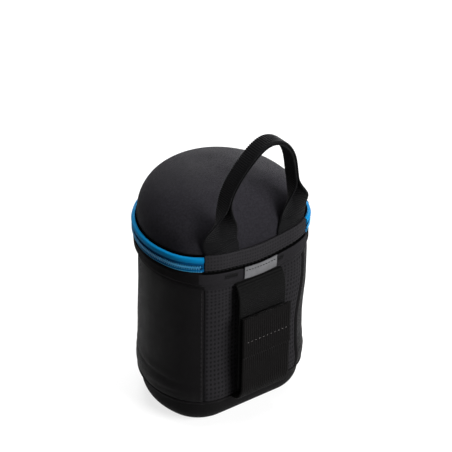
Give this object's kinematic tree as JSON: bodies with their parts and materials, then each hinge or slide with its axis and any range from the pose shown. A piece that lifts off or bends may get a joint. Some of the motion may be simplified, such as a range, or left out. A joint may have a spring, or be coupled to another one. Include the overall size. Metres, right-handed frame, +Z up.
{
  "type": "lens pouch",
  "caption": "Padded D-shaped lens pouch with a moulded base, a domed zip lid hinged at its back, a carrying handle and a hook-and-loop belt strap.",
  "frame": {"origin": "centre of the round front's circle on the flat underside of the base", "axes": "+Z up through the lid, -Y towards the round zipped front, +Y towards the flat back with the belt strap, +X to the wearer's side"},
  "size_m": [0.127, 0.1152, 0.2192],
  "materials": {
    "moulded_foam": "closed-cell foam moulded under a smooth knit skin, matt black",
    "lining": "brushed grey tricot lining",
    "pad_lining": "foam pad in brushed grey tricot",
    "wrap_fabric": "fine plain-weave polyester, charcoal",
    "panel_fabric": "small-grid ripstop mesh over foam, charcoal",
    "piping": "rolled edge binding, charcoal",
    "rim_fabric": "fine plain-weave polyester, charcoal",
    "binding": "grosgrain edge binding, black",
    "zip_tape": "woven zip tape, cyan blue",
    "zip_coil": "nylon coil, cyan blue",
    "hinge_fabric": "small-grid ripstop, charcoal",
    "label": "satin woven tab, light grey, bare",
    "dome_fabric": "moulded foam under fine plain-weave polyester, charcoal",
    "handle_webbing": "ribbed polyester webbing, dark grey",
    "slider_metal": "die-cast zinc, gunmetal lacquer",
    "strap_webbing": "smooth backed webbing, charcoal",
    "loop_pile": "loop pile, black",
    "hook_tape": "moulded hooks, black",
    "flap_webbing": "ribbed webbing, dark grey"
  },
  "bodies": {
    "pouch_body": {"base_cup": "moulded_foam", "body_liner": "lining", "bottom_pad": "pad_lining", "front_wrap": "wrap_fabric", "back_panel": "panel_fabric", "hem_binding": "piping", "rim_band": "rim_fabric", "rim_binding": "binding", "lower_zip_tape": "zip_tape", "lower_zip_coil": "zip_coil", "hinge_band_lower": "hinge_fabric", "label_tab": "label"},
    "lid": {"lid_shell": "dome_fabric", "lid_liner": "lining", "lid_binding": "binding", "upper_zip_tape": "zip_tape", "upper_zip_coil": "zip_coil", "hinge_band_upper": "hinge_fabric"},
    "handle": {"handle_webbing": "handle_webbing"},
    "slider": {"zip_slider": "slider_metal"},
    "pull": {"zip_pull": "slider_metal"},
    "strap": {"belt_strap": "strap_webbing", "loop_patch": "loop_pile"},
    "flap": {"belt_flap": "flap_webbing", "hook_patch": "hook_tape"}
  },
  "joints": [
    {"name": "lid_hinge", "type": "hinge", "parent": "pouch_body", "child": "lid", "pos_m": [0, 0.043, 0.1294], "axis": [-1, 0, 0], "range_deg": [0, 100]},
    {"name": "handle_tilt", "type": "hinge", "parent": "lid", "child": "handle", "pos_m": [0, 0.0411, 0.1383], "axis": [-1, 0, 0], "range_deg": [0, 40]},
    {"name": "slider_run", "type": "hinge", "parent": "pouch_body", "child": "slider", "pos_m": [0, 0, 0.1314], "axis": [0, 0, 1], "range_deg": [0, 200]},
    {"name": "pull_swing", "type": "hinge", "parent": "slider", "child": "pull", "pos_m": [-0.06313, 0.01113, 0.1314], "axis": [0.1736, 0.9848, 0], "range_deg": [0, 110]},
    {"name": "flap_hinge", "type": "hinge", "parent": "pouch_body", "child": "flap", "pos_m": [0, 0.0402, 0.02], "axis": [-1, 0, 0], "range_deg": [0, 90]},
    {"name": "strap_hinge", "type": "hinge", "parent": "pouch_body", "child": "strap", "pos_m": [0, 0.0399, 0.112], "axis": [1, 0, 0], "range_deg": [0, 13.5]}
  ],
  "couplings": [
    {"joint": "strap_hinge", "follows": "flap_hinge", "ratio": 0.15}
  ]
}
